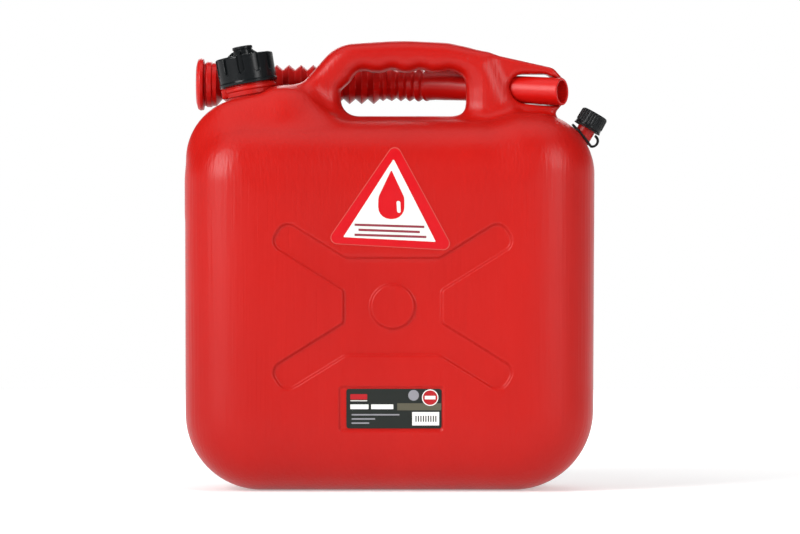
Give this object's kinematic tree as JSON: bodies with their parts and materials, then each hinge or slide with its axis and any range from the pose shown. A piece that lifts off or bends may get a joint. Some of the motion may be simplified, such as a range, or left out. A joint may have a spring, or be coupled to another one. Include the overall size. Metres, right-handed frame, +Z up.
{
  "type": "jerry can",
  "caption": "Flat-sided plastic fuel can with a moulded carrying handle, screw filler cap, tethered vent cap and a flexible pouring spout stowed through the handle.",
  "frame": {"origin": "on the ground under the middle of the tank's length and depth", "axes": "+X along the can towards the vent cap, -Y out of the front with the labels, +Z up"},
  "size_m": [0.3292, 0.1405, 0.3498],
  "materials": {
    "red_hdpe": "semi-matte moulded polyethylene",
    "black_plastic": "satin moulded plastic",
    "tether_plastic": "soft satin plastic",
    "seal_rubber": "matt rubber",
    "label_film": "printed film",
    "sticker_film": "printed film"
  },
  "bodies": {
    "can": {"can_body": "red_hdpe", "tether_base_ring": "tether_plastic", "tether_strap": "tether_plastic", "product_label": "label_film", "front_sticker": "sticker_film"},
    "filler_closure": {"filler_stopper": "black_plastic", "filler_seal": "seal_rubber"},
    "filler_ring": {"filler_cap_ring": "black_plastic"},
    "vent_closure": {"tether_cap_ring": "tether_plastic", "vent_seal": "seal_rubber"},
    "vent_knob": {"vent_cap": "black_plastic"},
    "spout_tip": {"spout_tube": "red_hdpe"},
    "spout_root": {"spout_hose": "red_hdpe", "spout_bend": "red_hdpe"}
  },
  "joints": [
    {"name": "filler_rise", "type": "slide", "parent": "can", "child": "filler_closure", "axis": [-0.1736, 0, 0.9848], "range_m": [0, 0.017]},
    {"name": "filler_turn", "type": "hinge", "parent": "filler_closure", "child": "filler_ring", "pos_m": [-0.11247, 0, 0.3262], "axis": [-0.1736, 0, 0.9848], "range_deg": [0, 1530]},
    {"name": "vent_rise", "type": "slide", "parent": "can", "child": "vent_closure", "axis": [0.5, 0, 0.866], "range_m": [0, 0.01125], "deforming": ["tether_strap"]},
    {"name": "vent_turn", "type": "hinge", "parent": "vent_closure", "child": "vent_knob", "pos_m": [0.1573, 0, 0.28699], "axis": [0.5, 0, 0.866], "range_deg": [0, 1620]},
    {"name": "spout_pull", "type": "slide", "parent": "can", "child": "spout_tip", "axis": [-0.9046, 0.4218, 0.061], "range_m": [0, 0.105]},
    {"name": "spout_flex", "type": "hinge", "parent": "spout_tip", "child": "spout_root", "pos_m": [0.01417, 0.04228, 0.31779], "axis": [0, 0.1432, -0.9897], "range_deg": [0, 25.23], "deforming": ["spout_bend"]}
  ],
  "couplings": [
    {"joint": "filler_rise", "follows": "filler_turn", "m_per_rad": 0.00063656},
    {"joint": "vent_rise", "follows": "vent_turn", "m_per_rad": 0.00039785},
    {"joint": "spout_flex", "follows": "spout_pull", "rad_per_m": 4.1918}
  ]
}
